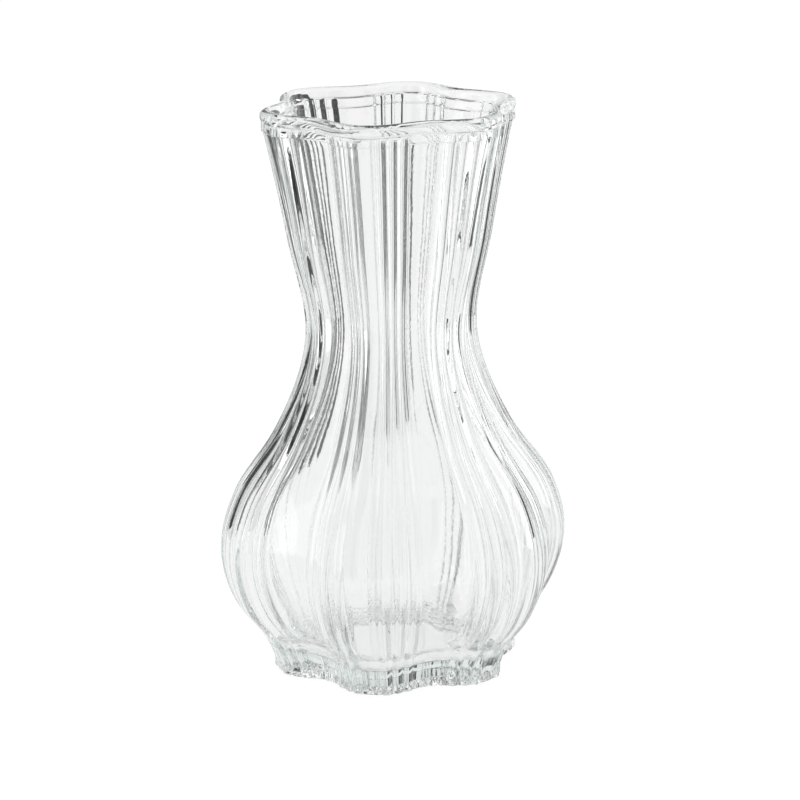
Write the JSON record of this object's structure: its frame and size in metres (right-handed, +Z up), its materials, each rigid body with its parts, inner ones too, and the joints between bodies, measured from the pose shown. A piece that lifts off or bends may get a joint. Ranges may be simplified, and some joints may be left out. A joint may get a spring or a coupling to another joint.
{
  "type": "glass bud vase",
  "caption": "Clear moulded glass bud vase: lobed, ribbed wall with a flared mouth, narrow waist, round bulb and short lobed foot.",
  "frame": {"origin": "on the vase's axis at the ground, in the middle of the foot's bearing face", "axes": "+Z up along the axis to the mouth; one of the lobes faces -Y; the lobes repeat every 60 degrees about Z"},
  "size_m": [0.0866, 0.0928, 0.15],
  "materials": {
    "clear_glass": "fire-polished clear glass, very slightly grey-green in the thick parts, finely stippled under the foot"
  },
  "bodies": {
    "root": {"heel": "clear_glass", "foot": "clear_glass", "lower_bulb": "clear_glass", "upper_bulb": "clear_glass", "shoulder": "clear_glass", "waist": "clear_glass", "flared_neck": "clear_glass", "collar": "clear_glass", "lip": "clear_glass"}
  },
  "joints": []
}
